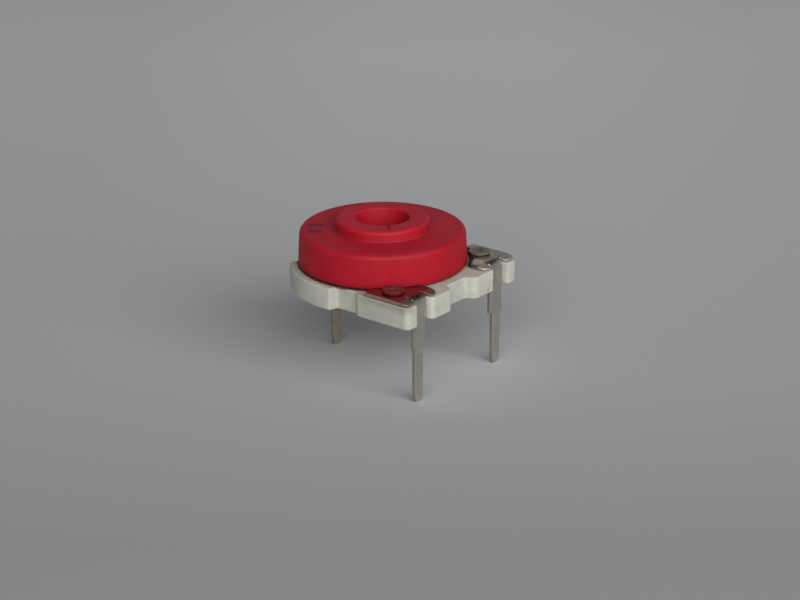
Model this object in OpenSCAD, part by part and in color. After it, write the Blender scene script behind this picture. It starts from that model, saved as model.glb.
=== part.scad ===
// Single-turn trimmer potentiometer: ceramic base plate, moulded rotor disc,
// carbon track, sprung wiper and three sheet-metal pins for a circuit board.
//
// The origin is on the rotor's axis, in the plane of the pin tips. +Z points up
// along the axis and +X points to the row of the two end pins. All sizes are in
// millimetres and all angles in degrees, counted from +X and seen from above.

/* [Footprint] */
// Distance from the rotor's axis to the row of the two end pins
end_pin_x = 7.5; // [7.3:0.1:9]
// Distance between the two end pins
end_pin_spacing = 10; // [9.6:0.1:11]
// Distance from the rotor's axis to the wiper pin
wiper_pin_x = 5; // [4.7:0.1:7]
// Height of the base plate's underside above the pin tips
standoff = 6.6; // [5.6:0.1:12]

/* [Pins] */
// Thickness of the terminals' sheet metal
sheet_t = 0.3; // [0.2:0.05:0.4]
// Inner radius where a terminal bends down
bend_r = 0.2; // [0.1:0.05:0.25]
// Width of a pin where it goes through the board
pin_w = 1; // [0.6:0.05:1.2]
// Width of a pin at its tip
pin_tip_w = 0.7; // [0.4:0.05:1]
// Height over which a pin narrows to its tip
pin_tip_h = 1; // [0.4:0.1:2]
// Height of the shoulders that rest on the board
shoulder_z = 4.4; // [2.5:0.1:5]
// Step of an end pin's shoulder on its inner side
shoulder_in = 0.35; // [0.2:0.05:0.5]
// Step of a shoulder on every other side
shoulder_out = 0.15; // [0.1:0.05:0.3]

/* [Base plate] */
// Radius of the two round sides
base_r = 7.45; // [7.1:0.05:9]
// Angle from +X at which each round side ends
side_end = 141; // [130:1:150]
// How far the back stays inside the disc's edge
back_inset = 0.18; // [0.1:0.02:0.3]
// Thickness
base_t = 1.82; // [1.2:0.02:3]
// How far the lugs reach in front of the row of end pins
lug_front = 0.7; // [0.6:0.05:1.5]
// How far a lug reaches sideways from its pin
lug_side = 2.05; // [1.9:0.05:3]
// How far a lug reaches from its pin towards the middle
lug_inner = 3.5; // [2.4:0.05:4]
// Radius of the lugs' corners
lug_corner_r = 0.5; // [0.2:0.05:0.6]
// Distance from the rotor's axis to the back of the lugs
lug_back_x = 3.1; // [2:0.1:3.4]
// Half the width of the waist between a round side and a lug
waist_y = 6.68; // [6.4:0.02:7]
// Distance from the rotor's axis to the front end of the round sides
waist_x = 0.75; // [0.3:0.05:1.5]
// Gap between a terminal's strip and the sides of its notch
notch_gap = 0.1; // [0.05:0.01:0.15]
// Depth of the hollow between the two lugs
hollow_depth = 0.8; // [0.3:0.05:0.9]

/* [Rotor] */
// Diameter of the hole that takes a knob's shaft
bore_d = 4.28; // [3:0.02:4.6]
// Radius of the disc at its lower edge
disc_r = 6.78; // [6.6:0.02:7.1]
// How much smaller the disc's radius is at its upper edge
disc_draft = 0.14; // [0:0.02:0.4]
// Height of the disc
disc_t = 2.76; // [2.4:0.02:4]
// Radius of the collar on the disc
collar_r = 3.78; // [3.6:0.02:5]
// Height of the collar above the disc
collar_h = 0.91; // [0.4:0.01:3]
// Gap between the base plate and the disc
disc_lift = 0.11; // [0.1:0.01:0.4]
// Thickness of the disc's roof over its hollow underside
roof_t = 1.2; // [0.6:0.05:1.2]
// Thickness of the disc's rim
rim_t = 0.58; // [0.4:0.02:0.6]
// Radius of the disc's and the collar's upper edges
edge_r = 0.22; // [0.05:0.01:0.4]
// Wall of the hub around the hole
hub_wall = 0.66; // [0.5:0.02:0.8]
// Direction of the pointer groove in the collar
pointer_angle = -40; // [-180:1:180]
// Width of the pointer groove
pointer_w = 0.35; // [0.2:0.05:1]
// Length of the pointer groove
pointer_l = 1.1; // [0.5:0.05:1.2]
// Depth of the pointer groove
pointer_depth = 0.2; // [0.1:0.05:0.5]

/* [Bearing] */
// Gap all round between the hub and the eyelet that it turns in
running_gap = 0.05; // [0.03:0.01:0.08]
// Wall of the eyelet
eyelet_wall = 0.25; // [0.15:0.01:0.3]
// Gap all round between the eyelet and the base plate
eyelet_gap = 0.05; // [0.02:0.01:0.08]
// Width of the eyelet's upper flange, which the wiper also rubs on
upper_flange_w = 0.65; // [0.5:0.05:0.75]
// Width of the eyelet's lower flange
lower_flange_w = 0.5; // [0.3:0.05:0.6]
// Thickness of both flanges
flange_t = 0.25; // [0.15:0.01:0.3]
// Thickness of the ring that keeps the rotor in
clip_t = 0.35; // [0.25:0.05:0.6]
// How far that ring stands out of the hub
clip_out = 0.5; // [0.35:0.05:0.7]
// Depth of the hub's groove for that ring
groove_depth = 0.25; // [0.15:0.05:0.3]
// Free axial travel of the rotor
axial_play = 0.05; // [0.02:0.01:0.1]
// Length of the hub below its groove
hub_tail = 0.3; // [0.2:0.05:0.8]

/* [Track and wiper] */
// Gap between the eyelet's upper flange and the track
track_in_gap = 0.5; // [0.3:0.05:0.7]
// Gap between the track and the base plate's stop
track_out_gap = 0.09; // [0.05:0.01:0.2]
// Thickness of the track and of its silver pads
film_t = 0.06; // [0.02:0.01:0.1]
// Angle from +X at which each end of the track lies
track_end = 51; // [48:1:60]
// Angle that each silver pad covers beyond the track
pad_angle = 12; // [8:1:14]
// Direction of the wiper in the modelled position
wiper_angle = 140; // [56:1:304]
// Thickness of the wiper's spring sheet
spring_t = 0.2; // [0.1:0.02:0.24]
// Width of the spring's ring
spring_ring_w = 1.05; // [0.9:0.05:1.2]
// Width of the spring's arms
arm_w = 0.8; // [0.5:0.05:0.8]
// Diameter of the contact button on the track
button_d = 0.7; // [0.4:0.05:0.8]
// Height of the contact button
button_h = 0.32; // [0.2:0.02:0.4]
// Gap between a contact and what it rubs on
contact_gap = 0.04; // [0.02:0.01:0.08]
// Diameter of the moulded pegs that hold the spring
peg_d = 0.5; // [0.3:0.05:0.5]

/* [Stops] */
// Half of the angle that the base plate's stop covers
stop_half = 19; // [10:1:19]
// Half of the angle that the rotor's stop covers
rotor_stop_half = 35; // [20:1:35]
// Width of both stops
stop_w = 0.4; // [0.3:0.02:0.44]
// Height of the base plate's stop
stop_h = 0.8; // [0.5:0.05:1]
// Gap between the base plate's stop and the disc's rim
stop_gap = 0.06; // [0.04:0.01:0.1]

/* [Terminal plates and rivets] */
// Diameter of a rivet's shank
shank_d = 1; // [0.6:0.05:1.2]
// Diameter of a rivet's head
head_d = 1.75; // [1.5:0.05:2]
// Height of a rivet's head
head_h = 0.22; // [0.18:0.02:0.5]
// Gap between the disc's edge and the end terminals
disc_gap = 0.15; // [0.1:0.01:0.3]
// Distance that a terminal's plate stays inside the lug's outer edge
plate_side_inset = 0.1; // [0.05:0.01:0.3]
// Distance that a terminal's plate stays behind the lug's front
plate_front_inset = 0.25; // [0.15:0.05:0.35]
// Distance from the rotor's axis to the back of a terminal's plate
plate_back_x = 3.8; // [3.4:0.05:4.2]
// Distance from the plane of symmetry to the inner side of a terminal's plate
plate_inner_y = 3; // [2.4:0.05:3.4]

/* [Hidden] */
$fn = 96;

white = [0.80, 0.79, 0.74];
red = [0.68, 0.11, 0.17];
tinned = [0.62, 0.60, 0.56];
bronze = [0.72, 0.52, 0.28];
carbon = [0.10, 0.10, 0.11];
silver = [0.80, 0.80, 0.78];

// Depth by which cutting shapes pass through what they cut
cut = 1;
// Points along each rounded corner of an outline
corner_steps = 8;
// Radius of the soft corners of stamped sheet
stamped_r = 0.12;

// Base plate
base_top = standoff + base_t;
pin_y = end_pin_spacing / 2;
lug_x = end_pin_x + lug_front;
lug_y = pin_y + lug_side;
lug_inner_y = pin_y - lug_inner;
strip_in_y = pin_y - pin_w / 2 - shoulder_in;
strip_out_y = pin_y + pin_w / 2 + shoulder_out;
notch_in_y = strip_in_y - notch_gap;
notch_out_y = strip_out_y + notch_gap;
notch_x = end_pin_x - sheet_t / 2 - notch_gap;
hollow_x = lug_x - hollow_depth;

// Bearing, from the hole outwards
bore_r = bore_d / 2;
hub_r = bore_r + hub_wall;
eyelet_r = hub_r + running_gap;
eyelet_out_r = eyelet_r + eyelet_wall;
base_hole_r = eyelet_out_r + eyelet_gap;
upper_flange_r = eyelet_out_r + upper_flange_w;
lower_flange_r = eyelet_out_r + lower_flange_w;

// Bearing, from the base plate downwards
wiper_plate_z = standoff - sheet_t;
eyelet_z = wiper_plate_z - flange_t;
clip_top = eyelet_z - axial_play;
clip_z = clip_top - clip_t;
hub_z = clip_z - hub_tail;
clip_r = hub_r + clip_out;

// Rotor
disc_z = base_top + disc_lift;
disc_top = disc_z + disc_t;
collar_top = disc_top + collar_h;
roof_z = disc_top - roof_t;
hollow_r = disc_r - rim_t;

// Stops just inside the disc's rim. The base plate's one is opposite the end pins and
// the rotor's one is opposite the wiper
stop_out_r = hollow_r - stop_gap;
stop_in_r = stop_out_r - stop_w;
base_stop_angle = 180;
rotor_stop_angle = wiper_angle + 180;

// Films on the base plate, between the eyelet's flange and the stop
film_top = base_top + film_t;
track_in_r = upper_flange_r + track_in_gap;
track_out_r = stop_in_r - track_out_gap;
track_r = (track_in_r + track_out_r) / 2;

// Terminals on the base plate, with the rivets just outside the disc
plate_in_r = disc_r + disc_gap;
plate_top = film_top + sheet_t;
rivet_dist = plate_in_r + head_d / 2;
rivet_angle = 45;
shank_gap = 0.05;
rivet_hole_d = shank_d + 2 * shank_gap;
pad_end_r = shank_d / 2 + 0.7;
cup_r = 0.35;
cup_depth = 0.12;

// Wiper spring: a ring under the roof, pegged to it, with two arms that slope down.
// Each arm starts at an angle from the contact that it carries
spring_z = roof_z - spring_t;
spring_in_r = hub_r + 0.05;
spring_out_r = spring_in_r + spring_ring_w;
track_arm_from = -55;
rub_arm_from = -50;
arm_root = 0.45;
arm_level = 0.5;
arm_flat = 0.45;
rub_r = eyelet_out_r + upper_flange_w / 2;
dimple_r = 0.3;
dimple_h = 0.1;
track_arm_z = film_top + contact_gap + button_h;
rub_arm_z = base_top + flange_t + contact_gap + dimple_h;

// Pegs of the rotor through the spring, with flattened heads
peg_r = (spring_in_r + spring_out_r) / 2;
peg_angles = [60, 240];
peg_gap = 0.04;
peg_head_d = peg_d + 0.24;
peg_head_h = 0.15;

function unit(v) = v / norm(v);

// Point at distance r from the axis in direction a
function polar(r, a) = r * [cos(a), sin(a)];

// Points of one rounded corner at "here", between the points before and after
function corner(before, here, after, r) =
    let (
        to_before = unit(before - here),
        to_after = unit(after - here),
        half = acos(to_before * to_after) / 2,
        centre = here + unit(to_before + to_after) * r / sin(half),
        first = here + to_before * r / tan(half) - centre,
        last = here + to_after * r / tan(half) - centre,
        start = atan2(first.y, first.x),
        turn = atan2(first.x * last.y - first.y * last.x, first * last)
    )
    [for (i = [0 : corner_steps]) centre + polar(r, start + turn * i / corner_steps)];

// Outline through [x, y, corner radius] points, with every corner rounded
function rounded(points) =
    let (n = len(points), xy = [for (p = points) [p.x, p.y]])
    [for (i = [0 : n - 1])
        let (r = points[i].z)
        each r > 0 ? corner(xy[(i + n - 1) % n], xy[i], xy[(i + 1) % n], r) : [xy[i]]];

// Points without rounding along an arc round the origin, from angle a0 to a1
function arc_points(r, a0, a1, steps) =
    [for (i = [0 : steps])
        let (xy = polar(r, a0 + (a1 - a0) * i / steps))
        [xy.x, xy.y, 0]];

// The same points on the other side of the X axis, in reverse order
function mirrored(points) =
    [for (i = [len(points) - 1 : -1 : 0]) [points[i].x, -points[i].y, points[i].z]];

// Direction across a path at its point i
function across(path, i) =
    let (
        before = unit(path[i] - path[max(i - 1, 0)] + (i == 0 ? path[1] - path[0] : [0, 0])),
        last = len(path) - 1,
        after = unit(path[min(i + 1, last)] - path[i] + (i == last ? path[i] - path[i - 1] : [0, 0])),
        along = unit(before + after),
        stretch = 1 / (along * after)
    )
    stretch * [-along.y, along.x];

// Outline of a sheet of thickness t whose lower face follows the path
function sheet_outline(path, t) =
    let (n = len(path))
    concat(path, [for (i = [n - 1 : -1 : 0]) path[i] + t * across(path, i)]);

// Flat ring or disc between two heights
module ring(r_in, r_out, z, t) {
    translate([0, 0, z])
        difference() {
            cylinder(r = r_out, h = t);
            translate([0, 0, -cut])
                cylinder(r = r_in, h = t + 2 * cut);
        }
}

// Wedge that covers the angles from a0 to a1 out to radius r, from z upwards
module wedge(a0, a1, r, z, t) {
    steps = ceil((a1 - a0) / 30);
    reach = r / cos((a1 - a0) / steps / 2);
    translate([0, 0, z])
        linear_extrude(t)
            polygon(concat(
                [[0, 0]],
                [for (i = [0 : steps]) polar(reach, a0 + (a1 - a0) * i / steps)]
            ));
}

// Part of a flat ring between two angles
module ring_sector(r_in, r_out, a0, a1, z, t) {
    intersection() {
        ring(r_in, r_out, z, t);
        wedge(a0, a1, r_out + cut, z - cut, t + 2 * cut);
    }
}

// Side view in X and Z, drawn out along Y to a width centred on the X axis
module side_view(width) {
    rotate([90, 0, 0])
        linear_extrude(width, center = true)
            children();
}

// Upright face in Y and Z, with the sheet's thickness centred on x
module upright(x, t) {
    translate([x - t / 2, 0, 0])
        rotate([90, 0, 90])
            linear_extrude(t)
                children();
}

// Moves its children to the rivet on side 1 (+Y) or side -1 (-Y)
module at_rivet(side) {
    rotate([0, 0, side * rivet_angle])
        translate([rivet_dist, 0, 0])
            children();
}

// Quarter bend that turns a plate with its top at z down to an upright strip at x,
// between y0 and y1
module bend(x, z, y0, y1) {
    outer = bend_r + sheet_t;
    translate([x + sheet_t / 2 - outer, (y0 + y1) / 2, z - outer])
        side_view(y1 - y0)
            intersection() {
                difference() {
                    circle(r = outer);
                    circle(r = bend_r);
                }
                square(outer + cut);
            }
}

// Upright strip from height z down to the tip of its pin, which is centred on y.
// step_in is the shoulder towards y = 0 and step_out is the other one
module pin_strip(x, y, z, step_in, step_out) {
    half = pin_w / 2;
    tip = pin_tip_w / 2;
    soft_in = min(stamped_r, step_in / 3);
    soft_out = min(stamped_r, step_out / 3);
    upright(x, sheet_t)
        translate([y, 0])
            polygon(rounded([
                [-half - step_in, z, 0],
                [-half - step_in, shoulder_z, soft_in],
                [-half, shoulder_z, soft_in],
                [-half, pin_tip_h, stamped_r],
                [-tip, 0, stamped_r],
                [tip, 0, stamped_r],
                [half, pin_tip_h, stamped_r],
                [half, shoulder_z, soft_out],
                [half + step_out, shoulder_z, soft_out],
                [half + step_out, z, 0]
            ]));
}

// Half of the base plate's outline on the +Y side, from the back to the front
waist_angle = acos(waist_x / base_r);
back_r = disc_r - back_inset;
back_start = 179;
back_end = side_end + 3.5;
back_steps = 16;
side_steps = 24;
waist_slope = 0.15;
lug_slope = 0.25;
hollow_slope = 0.3;
half_outline = concat(
    arc_points(back_r, back_start, back_end + 3, back_steps),
    [
        [back_r * cos(back_end), back_r * sin(back_end), 0.2],
        [base_r * cos(side_end), base_r * sin(side_end), 0.2]
    ],
    arc_points(base_r, side_end - 3, waist_angle + 4, side_steps),
    [
        [waist_x, base_r * sin(waist_angle), 0.25],
        [waist_x + waist_slope, waist_y, 0.25],
        [lug_back_x - lug_slope, waist_y, 0.3],
        [lug_back_x, lug_y, 0.2],
        [lug_x, lug_y, lug_corner_r],
        [lug_x, notch_out_y, 0.3],
        [notch_x, notch_out_y, 0.25],
        [notch_x, notch_in_y, 0.25],
        [lug_x, notch_in_y, 0.4],
        [lug_x, lug_inner_y, lug_corner_r],
        [hollow_x, lug_inner_y - hollow_slope, 0.4]
    ]
);

module base_plate() {
    color(white)
        difference() {
            union() {
                translate([0, 0, standoff])
                    linear_extrude(base_t)
                        polygon(rounded(concat(half_outline, mirrored(half_outline))));
                ring_sector(
                    stop_in_r, stop_out_r,
                    base_stop_angle - stop_half, base_stop_angle + stop_half,
                    base_top, stop_h
                );
            }
            translate([0, 0, standoff - cut])
                cylinder(r = base_hole_r, h = base_t + 2 * cut);
            for (side = [-1, 1])
                at_rivet(side)
                    translate([0, 0, standoff - cut])
                        cylinder(d = rivet_hole_d, h = base_t + 2 * cut);
        }
}

module resistive_track() {
    color(carbon)
        ring_sector(track_in_r, track_out_r, track_end, 360 - track_end, base_top, film_t);
}

// Silver film from the end of the track to the rivet, on side 1 or -1
module pad(side) {
    inner_end = track_end - pad_angle;
    color(silver)
        mirror([0, side < 0 ? 1 : 0, 0])
            difference() {
                union() {
                    ring_sector(track_in_r, track_out_r, inner_end, track_end, base_top, film_t);
                    ring_sector(track_out_r, rivet_dist, inner_end, track_end, base_top, film_t);
                    at_rivet(1)
                        translate([0, 0, base_top])
                            cylinder(r = pad_end_r, h = film_t);
                }
                at_rivet(1)
                    translate([0, 0, base_top - cut])
                        cylinder(d = rivet_hole_d, h = film_t + 2 * cut);
            }
}

// Flat shape of a terminal's plate on the +Y side, up to its bend
module plate_outline() {
    front_x = lug_x - plate_front_inset;
    outer_y = lug_y - plate_side_inset;
    bend_x = end_pin_x - sheet_t / 2 - bend_r;
    slot_x = bend_x - 0.15;
    slot_w = 0.12;
    inner_side = 1.4;
    polygon(rounded([
        [plate_back_x, plate_inner_y, 0],
        [plate_back_x, outer_y, 0.3],
        [front_x, outer_y, 0.45],
        [front_x, notch_out_y + slot_w, 0.15],
        [slot_x, strip_out_y + slot_w, 0.05],
        [slot_x, strip_out_y, 0.05],
        [bend_x, strip_out_y, 0],
        [bend_x, strip_in_y, 0],
        [slot_x, strip_in_y, 0.05],
        [slot_x, strip_in_y - slot_w, 0.05],
        [front_x, notch_in_y - slot_w, 0.15],
        [front_x, plate_inner_y, 0.5],
        [front_x - inner_side, plate_inner_y, 0.5],
        [plate_back_x + 1, plate_inner_y + 1.2, 0]
    ]));
}

// One of the two end terminals, on side 1 or -1
module end_terminal(side) {
    color(tinned)
        mirror([0, side < 0 ? 1 : 0, 0]) {
            difference() {
                translate([0, 0, film_top])
                    linear_extrude(sheet_t)
                        plate_outline();
                translate([0, 0, film_top - cut])
                    cylinder(r = plate_in_r, h = sheet_t + 2 * cut);
                at_rivet(1)
                    translate([0, 0, film_top - cut])
                        cylinder(d = rivet_hole_d, h = sheet_t + 2 * cut);
            }
            bend(end_pin_x, plate_top, strip_in_y, strip_out_y);
            pin_strip(end_pin_x, pin_y, plate_top - bend_r - sheet_t, shoulder_in, shoulder_out);
        }
}

// Section of a rivet to the right of its axis. The upper head flares out from the
// plate, and the lower one is smaller
flare = 0.14;
low_head_r = head_d / 2 - 0.1;
rivet_section = rounded([
    [0, standoff - head_h + cup_depth, 0],
    [cup_r, standoff - head_h + cup_depth, 0],
    [cup_r, standoff - head_h, 0],
    [low_head_r, standoff - head_h, 0.12],
    [low_head_r, standoff, 0],
    [shank_d / 2, standoff, 0],
    [shank_d / 2, plate_top, 0],
    [head_d / 2 - flare, plate_top, 0],
    [head_d / 2, plate_top + head_h / 2, 0.04],
    [head_d / 2, plate_top + head_h, 0.05],
    [cup_r, plate_top + head_h, 0.06],
    [cup_r / 2, plate_top + head_h - cup_depth, 0.06],
    [0, plate_top + head_h - cup_depth, 0]
]);

// Rivet through terminal, pad and base plate, on side 1 or -1
module end_rivet(side) {
    color(tinned)
        at_rivet(side)
            rotate_extrude()
                polygon(rivet_section);
}

// Ring under the base plate whose tongue bends down to the third pin
module wiper_terminal() {
    ring_r = lower_flange_r + 0.4;
    bend_x = wiper_pin_x - sheet_t / 2 - bend_r;
    half = pin_w / 2 + shoulder_out;
    color(tinned)
        mirror([1, 0, 0]) {
            difference() {
                union() {
                    translate([0, 0, wiper_plate_z])
                        cylinder(r = ring_r, h = sheet_t);
                    translate([0, -half, wiper_plate_z])
                        cube([bend_x, 2 * half, sheet_t]);
                }
                translate([0, 0, wiper_plate_z - cut])
                    cylinder(r = base_hole_r, h = sheet_t + 2 * cut);
            }
            bend(wiper_pin_x, standoff, -half, half);
            pin_strip(wiper_pin_x, 0, standoff - bend_r - sheet_t, shoulder_out, shoulder_out);
        }
}

// Tube riveted through the base plate and the wiper terminal
module centre_eyelet() {
    color(silver) {
        difference() {
            union() {
                translate([0, 0, eyelet_z])
                    cylinder(r = eyelet_out_r, h = base_top + flange_t - eyelet_z);
                translate([0, 0, eyelet_z])
                    cylinder(r = lower_flange_r, h = flange_t);
                translate([0, 0, base_top])
                    cylinder(r = upper_flange_r, h = flange_t);
            }
            translate([0, 0, eyelet_z - cut])
                cylinder(r = eyelet_r, h = base_top + flange_t - eyelet_z + 2 * cut);
        }
    }
}

// Section of the rotor to the right of its axis, with the hole left open
hub_chamfer = 0.15;
rotor_section = rounded([
    [bore_r, hub_z, 0],
    [hub_r - hub_chamfer, hub_z, 0],
    [hub_r, hub_z + hub_chamfer, 0],
    [hub_r, clip_z, 0],
    [hub_r - groove_depth, clip_z, 0],
    [hub_r - groove_depth, clip_top, 0],
    [hub_r, clip_top, 0],
    [hub_r, roof_z, 0],
    [hollow_r, roof_z, 0],
    [hollow_r, disc_z, 0],
    [disc_r, disc_z, 0.08],
    [disc_r - disc_draft, disc_top, edge_r],
    [collar_r, disc_top, 0.1],
    [collar_r, collar_top, min(edge_r, collar_h / 2)],
    [bore_r, collar_top, 0.1]
]);

module rotor() {
    color(red)
        difference() {
            union() {
                rotate_extrude()
                    polygon(rotor_section);
                ring_sector(
                    stop_in_r, hollow_r + rim_t / 2,
                    rotor_stop_angle - rotor_stop_half, rotor_stop_angle + rotor_stop_half,
                    disc_z + 0.1, roof_z - disc_z
                );
                for (a = peg_angles)
                    rotate([0, 0, wiper_angle + a])
                        translate([peg_r, 0, 0]) {
                            translate([0, 0, spring_z])
                                cylinder(d = peg_d, h = spring_t + roof_t / 2);
                            translate([0, 0, spring_z - peg_head_h])
                                cylinder(d = peg_head_d, h = peg_head_h);
                        }
            }
            rotate([0, 0, pointer_angle])
                translate([bore_r + pointer_l / 2, 0, collar_top])
                    rotate([90, 0, 90])
                        linear_extrude(pointer_l, center = true)
                            polygon([
                                [-pointer_w / 2, cut],
                                [-pointer_w / 2, 0],
                                [0, -pointer_depth],
                                [pointer_w / 2, 0],
                                [pointer_w / 2, cut]
                            ]);
        }
}

// Arm that leaves the spring's ring at "from", slopes down and ends flat past "to"
module spring_arm(from, to, low_z) {
    length = norm(to - from);
    heading = atan2(to.y - from.y, to.x - from.x);
    translate([from.x, from.y, 0])
        rotate([0, 0, heading])
            side_view(arm_w)
                polygon(sheet_outline([
                    [-arm_root, spring_z],
                    [arm_level, spring_z],
                    [length - arm_flat, low_z],
                    [length + arm_flat, low_z]
                ], spring_t));
}

module wiper_spring() {
    color(bronze)
        rotate([0, 0, wiper_angle])
            union() {
                difference() {
                    ring(spring_in_r, spring_out_r, spring_z, spring_t);
                    for (a = peg_angles)
                        rotate([0, 0, a])
                            translate([peg_r, 0, spring_z - cut])
                                cylinder(d = peg_d + 2 * peg_gap, h = spring_t + 2 * cut);
                }
                spring_arm(polar(spring_out_r, track_arm_from), [track_r, 0], track_arm_z);
                rotate([0, 0, 180]) {
                    spring_arm(
                        polar(spring_out_r + arm_w / 2, rub_arm_from), [rub_r, 0], rub_arm_z
                    );
                    translate([rub_r, 0, rub_arm_z - dimple_h])
                        cylinder(r1 = dimple_r * 0.6, r2 = dimple_r, h = dimple_h + spring_t / 2);
                }
            }
}

// Button under the end of the spring's longer arm, with a rounded face
module contact_button() {
    round_h = 0.12;
    color(carbon)
        rotate([0, 0, wiper_angle])
            translate([track_r, 0, track_arm_z - button_h])
                rotate_extrude()
                    polygon(concat(
                        [[0, button_h]],
                        [[0, 0]],
                        [for (a = [0 : 15 : 90])
                            [button_d / 2 - round_h + round_h * sin(a), round_h - round_h * cos(a)]],
                        [[button_d / 2, button_h]]
                    ));
}

// Split ring in the hub's groove
module retaining_ring() {
    opening = 1.2;
    fit = 0.02;
    color(silver)
        difference() {
            ring(hub_r - groove_depth + fit, clip_r, clip_z, clip_t);
            translate([0, -opening / 2, clip_z - cut])
                cube([clip_r + cut, opening, clip_t + 2 * cut]);
        }
}

base_plate();
resistive_track();
pad(1);  // cw_pad
pad(-1);  // ccw_pad
end_terminal(1);  // cw_terminal
end_terminal(-1);  // ccw_terminal
end_rivet(1);  // cw_rivet
end_rivet(-1);  // ccw_rivet
wiper_terminal();
centre_eyelet();
rotor();
wiper_spring();
contact_button();
retaining_ring();
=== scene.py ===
import math

import bmesh
import bpy
from mathutils import Euler, Matrix, Vector


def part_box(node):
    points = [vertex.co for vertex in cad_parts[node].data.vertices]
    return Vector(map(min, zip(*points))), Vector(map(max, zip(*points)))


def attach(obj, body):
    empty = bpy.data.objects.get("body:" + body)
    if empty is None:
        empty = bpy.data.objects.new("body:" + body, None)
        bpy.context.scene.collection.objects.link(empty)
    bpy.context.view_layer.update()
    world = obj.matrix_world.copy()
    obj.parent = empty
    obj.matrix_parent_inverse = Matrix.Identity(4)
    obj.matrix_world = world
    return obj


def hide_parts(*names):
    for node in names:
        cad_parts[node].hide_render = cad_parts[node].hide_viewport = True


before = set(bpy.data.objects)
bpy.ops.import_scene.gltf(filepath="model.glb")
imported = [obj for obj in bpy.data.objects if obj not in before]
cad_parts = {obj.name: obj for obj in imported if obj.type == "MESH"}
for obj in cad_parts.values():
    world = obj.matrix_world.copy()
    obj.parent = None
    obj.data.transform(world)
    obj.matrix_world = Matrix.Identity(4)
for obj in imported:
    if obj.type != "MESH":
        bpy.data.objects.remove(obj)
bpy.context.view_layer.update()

# The finished pieces are in metres. Each piece is modelled in millimetres and
# brought to size when it is finished.
MM = 0.001


def corners(node):
    """Lowest and highest corner of a CAD node, in millimetres."""
    low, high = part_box(node)
    return low / MM, high / MM


# ---------------------------------------------------------------- sizes, in mm
# How far a cutting tool reaches past what it cuts
CUT = 1.0

base_low, base_high = corners("base_plate")
rotor_low, rotor_high = corners("rotor")
pad_low, pad_high = corners("cw_pad")
plate_low, plate_high = corners("cw_terminal")
rivet_low, rivet_high = corners("cw_rivet")
wiper_high = corners("wiper_terminal")[1]
eyelet_low, eyelet_high = corners("centre_eyelet")
clip_low, clip_high = corners("retaining_ring")

# Sheet metal and pins. A strip is wider than its pin, more on the inner side.
SHEET = 0.3
BEND_R = 0.2
BEND_STEPS = 8
PIN_X = 7.5
PIN_Y = 5.0
PIN_HALF = 0.5
TIP_HALF = 0.35
TIP_H = 1.0
SHOULDER_Z = 4.4
SHOULDER_IN = 0.35
SHOULDER_OUT = 0.15
STRIP_IN_Y = PIN_Y - PIN_HALF - SHOULDER_IN
STRIP_OUT_Y = PIN_Y + PIN_HALF + SHOULDER_OUT
STRIP_Y = (STRIP_IN_Y + STRIP_OUT_Y) / 2
STRIP_HALF = (STRIP_OUT_Y - STRIP_IN_Y) / 2
WIPER_PIN_X = 5.0
WIPER_RING_R = wiper_high.y

# Base plate. Its sides and back are arcs, which end at steps of a circle counted from the front.
ROUND = 192
STEP = 2 * math.pi / ROUND
WAIST_STEP = 45
SIDE_STEP = 75
BACK_STEP = 77
BASE_R = base_high.y
BACK_R = 6.6
BASE_Z = base_low.z
BASE_TOP = pad_low.z
WAIST_Y = 6.68
WAIST_SLOPE = 0.15
LUG_X = base_high.x
LUG_Y = 7.05
LUG_BACK_X = 3.1
LUG_SLOPE = 0.25
NOTCH_GAP = 0.1
NOTCH_X = PIN_X - SHEET / 2 - NOTCH_GAP
NOTCH_IN_Y = STRIP_IN_Y - NOTCH_GAP
NOTCH_OUT_Y = STRIP_OUT_Y + NOTCH_GAP
HOLLOW_DEPTH = 0.8
HOLLOW_X = LUG_X - HOLLOW_DEPTH
HOLLOW_Y = 1.5
HOLLOW_BACK_Y = 1.2
PRESSED_ROUND = 0.15

# Rotor
DISC_R = 6.78
DISC_DRAFT = 0.14
DISC_TOP_R = DISC_R - DISC_DRAFT
DISC_LIFT = 0.11
DISC_T = 2.76
DISC_Z = BASE_TOP + DISC_LIFT
DISC_TOP = DISC_Z + DISC_T
COLLAR_R = 3.78
COLLAR_TOP = rotor_high.z
BORE_R = 2.14
HUB_WALL = 0.66
HUB_R = BORE_R + HUB_WALL
HUB_Z = rotor_low.z
ROOF_T = 1.2
ROOF_Z = DISC_TOP - ROOF_T
RIM_T = 0.58
HOLLOW_R = DISC_R - RIM_T
GROOVE_DEPTH = 0.25
GROOVE_R = HUB_R - GROOVE_DEPTH
POINTER_ANGLE = math.radians(-40)
POINTER_HALF = 0.175
POINTER_L = 1.1
POINTER_DEPTH = 0.2

# Eyelet in the base's hole, and the split ring under it
RUNNING_GAP = 0.05
TUBE_IN_R = HUB_R + RUNNING_GAP
TUBE_WALL = 0.25
TUBE_R = TUBE_IN_R + TUBE_WALL
LOWER_FLANGE_W = 0.5
LOWER_FLANGE_R = TUBE_R + LOWER_FLANGE_W
UPPER_FLANGE_R = eyelet_high.x
FLANGE_T = 0.25
HOLE_GAP = 0.05
HOLE_R = TUBE_R + HOLE_GAP
CLIP_Z = clip_low.z
CLIP_TOP = clip_high.z
CLIP_R = clip_high.y
CLIP_GAP = 0.02
CLIP_PLAY = 0.01
SPLIT_HALF = 0.6

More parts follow.
